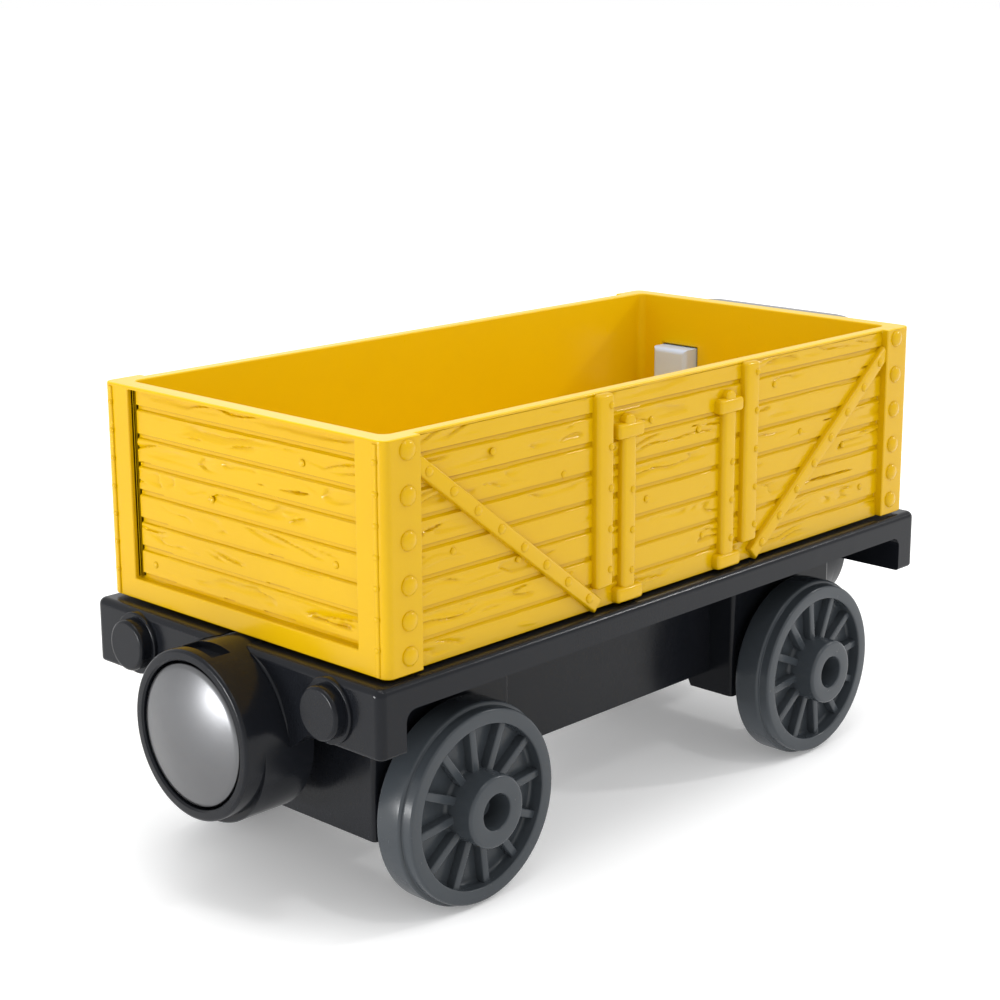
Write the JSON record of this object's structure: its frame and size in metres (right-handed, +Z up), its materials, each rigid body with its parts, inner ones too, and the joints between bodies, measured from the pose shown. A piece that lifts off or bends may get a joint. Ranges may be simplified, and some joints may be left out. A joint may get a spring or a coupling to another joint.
{
  "type": "toy mine wagon",
  "caption": "Open plank-sided toy wagon for a wooden railway: hollow tub on a flat chassis, spoked wheels on axles, domed magnet couplers and a sliding end lever.",
  "frame": {"origin": "bottom centre, on the plane that the wheels stand on, midway between the axles", "axes": "+X forward to the end with the grey plate and lever, +Y left, +Z up"},
  "size_m": [0.08, 0.0346, 0.04],
  "materials": {
    "yellow_plastic": "satin moulded, wood relief",
    "black_plastic": "satin moulded",
    "wheel_plastic": "fine matte moulded",
    "grey_plastic": "fine matte moulded",
    "lever_plastic": "satin moulded",
    "satin_steel": "satin pressed",
    "screw_steel": "zinc plated",
    "magnet_metal": "nickel plated"
  },
  "bodies": {
    "frame": {"tub": "yellow_plastic", "chassis": "black_plastic", "underframe": "black_plastic", "frame_screws": "screw_steel", "end_plate": "grey_plastic", "coupler_barrel_rear": "black_plastic", "coupler_barrel_front": "black_plastic"},
    "wheelset_rear": {"axle_rear": "wheel_plastic", "wheel_rear_right": "wheel_plastic", "wheel_rear_left": "wheel_plastic"},
    "wheelset_front": {"axle_front": "wheel_plastic", "wheel_front_right": "wheel_plastic", "wheel_front_left": "wheel_plastic"},
    "coupler_magnet_rear": {"magnet_cap_rear": "satin_steel", "magnet_rear": "magnet_metal", "magnet_holder_rear": "black_plastic"},
    "coupler_magnet_front": {"magnet_cap_front": "satin_steel", "magnet_front": "magnet_metal", "magnet_holder_front": "black_plastic"},
    "lever": {"lever_slide": "lever_plastic"}
  },
  "joints": [
    {"name": "rear_axle_spin", "type": "hinge", "parent": "frame", "child": "wheelset_rear", "pos_m": [-0.0226, 0, 0.00835], "axis": [0, 1, 0], "continuous": true},
    {"name": "front_axle_spin", "type": "hinge", "parent": "frame", "child": "wheelset_front", "pos_m": [0.0226, 0, 0.00835], "axis": [0, 1, 0], "continuous": true},
    {"name": "rear_magnet_turn", "type": "hinge", "parent": "frame", "child": "coupler_magnet_rear", "pos_m": [-0.036, 0, 0.015], "axis": [1, 0, 0], "continuous": true},
    {"name": "front_magnet_turn", "type": "hinge", "parent": "frame", "child": "coupler_magnet_front", "pos_m": [0.036, 0, 0.015], "axis": [1, 0, 0], "continuous": true},
    {"name": "lever_slide_down", "type": "slide", "parent": "frame", "child": "lever", "axis": [0, 0, -1], "range_m": [0, 0.005]}
  ]
}
